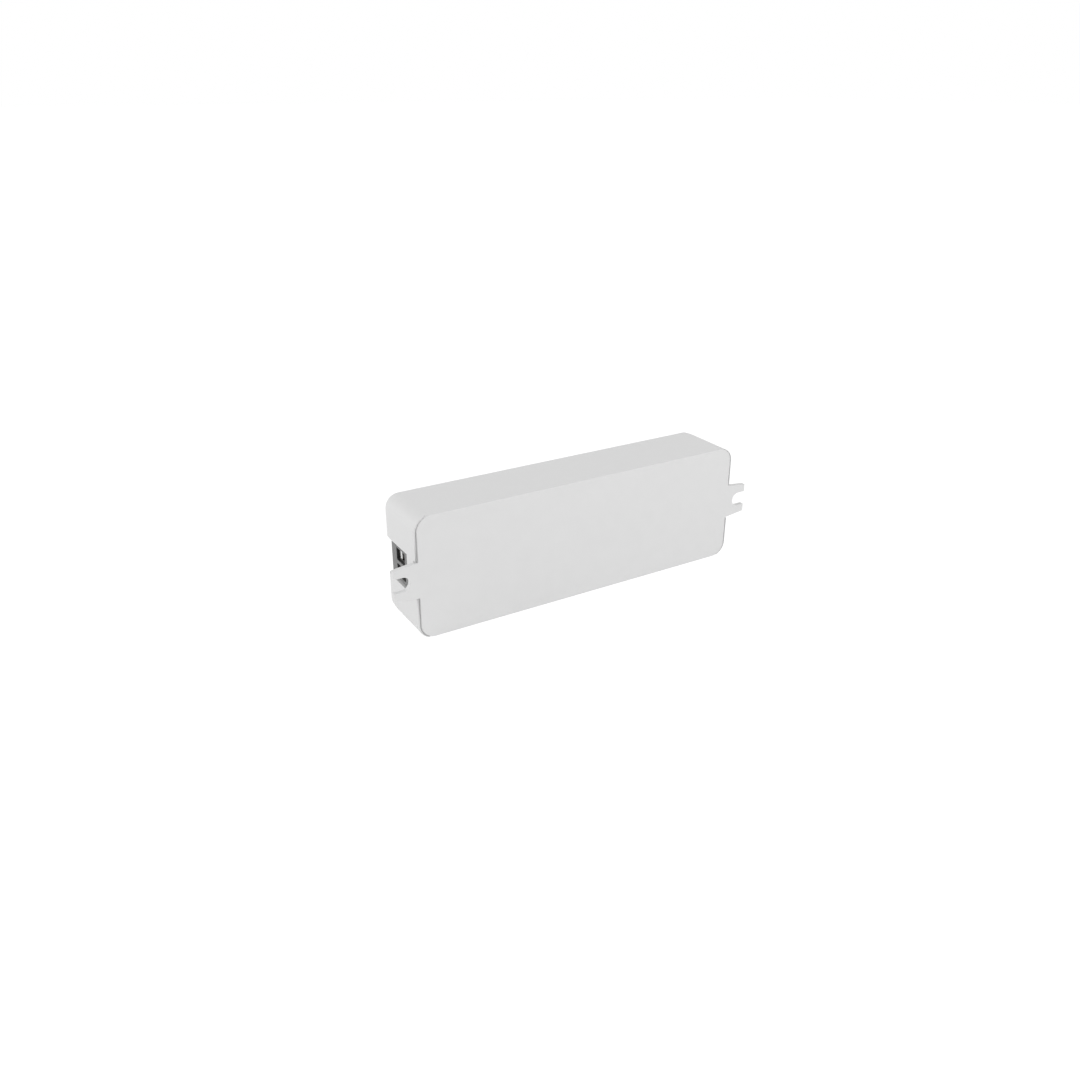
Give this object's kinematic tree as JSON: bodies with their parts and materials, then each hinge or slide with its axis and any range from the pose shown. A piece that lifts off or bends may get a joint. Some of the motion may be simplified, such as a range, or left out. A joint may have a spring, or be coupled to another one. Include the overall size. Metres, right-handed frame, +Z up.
{
  "type": "led controller",
  "caption": "Slim white plastic controller for low-voltage lamp strips, with an open screw ear and screw terminals at each end and a learning key on its front.",
  "frame": {"origin": "middle of the long narrow side that the case stands on", "axes": "+X along the case towards the supply end, +Y out of the back plate towards the wall, +Z up across the case's width"},
  "size_m": [0.126, 0.021, 0.038],
  "materials": {
    "shell_white": "fine satin moulded",
    "key_white": "satin moulded",
    "board_green": "glossy solder mask",
    "radio_green": "glossy solder mask",
    "block_grey": "satin moulded",
    "nickel_plate": "bright nickel plate",
    "screw_steel": "zinc plate",
    "tin_plate": "dull tin plate",
    "solder": "bright solder",
    "mould_black": "dull moulded epoxy",
    "clear_acrylic": "clear polished",
    "lamp_cream": "clear over cream",
    "can_aluminium": "satin drawn",
    "sleeve_film": "shrunk film",
    "bung_rubber": "matt",
    "ferrite": "dull sintered",
    "copper_wire": "enamelled",
    "fuse_ceramic": "dull",
    "chip_ceramic": "dull",
    "antenna_gold": "gold flash"
  },
  "bodies": {
    "case": {"base_plate": "shell_white", "cover": "shell_white", "circuit_board": "board_green", "board_screws": "screw_steel", "input_terminal_housing": "block_grey", "input_terminal_cages": "nickel_plate", "input_terminal_screws": "screw_steel", "input_terminal_pins": "tin_plate", "output_terminal_housing": "block_grey", "output_terminal_cages": "nickel_plate", "output_terminal_screws": "screw_steel", "output_terminal_pins": "tin_plate", "switch_housing": "mould_black", "switch_frame": "tin_plate", "switch_legs": "tin_plate", "light_pipe": "clear_acrylic", "run_lamp": "lamp_cream", "transistor_bodies": "mould_black", "transistor_tabs": "tin_plate", "transistor_legs": "tin_plate", "capacitor_can": "can_aluminium", "capacitor_sleeve": "sleeve_film", "capacitor_bung": "bung_rubber", "capacitor_legs": "tin_plate", "inductor_core": "ferrite", "inductor_winding": "copper_wire", "regulator_body": "mould_black", "regulator_legs": "tin_plate", "controller_body": "mould_black", "controller_legs": "tin_plate", "diode_bodies": "mould_black", "diode_legs": "tin_plate", "input_fuse": "fuse_ceramic", "fuse_caps": "tin_plate", "radio_board": "radio_green", "radio_chip": "mould_black", "radio_crystal": "tin_plate", "radio_antenna": "antenna_gold", "chip_resistors": "mould_black", "chip_capacitors": "chip_ceramic", "chip_end_caps": "tin_plate", "solder_joints": "solder"},
    "key": {"learning_key": "key_white", "switch_plunger": "mould_black"}
  },
  "joints": [
    {"name": "key_press", "type": "slide", "parent": "case", "child": "key", "axis": [0, 1, 0], "range_m": [0, 0.0003], "stiffness_N_per_m": 1500}
  ]
}
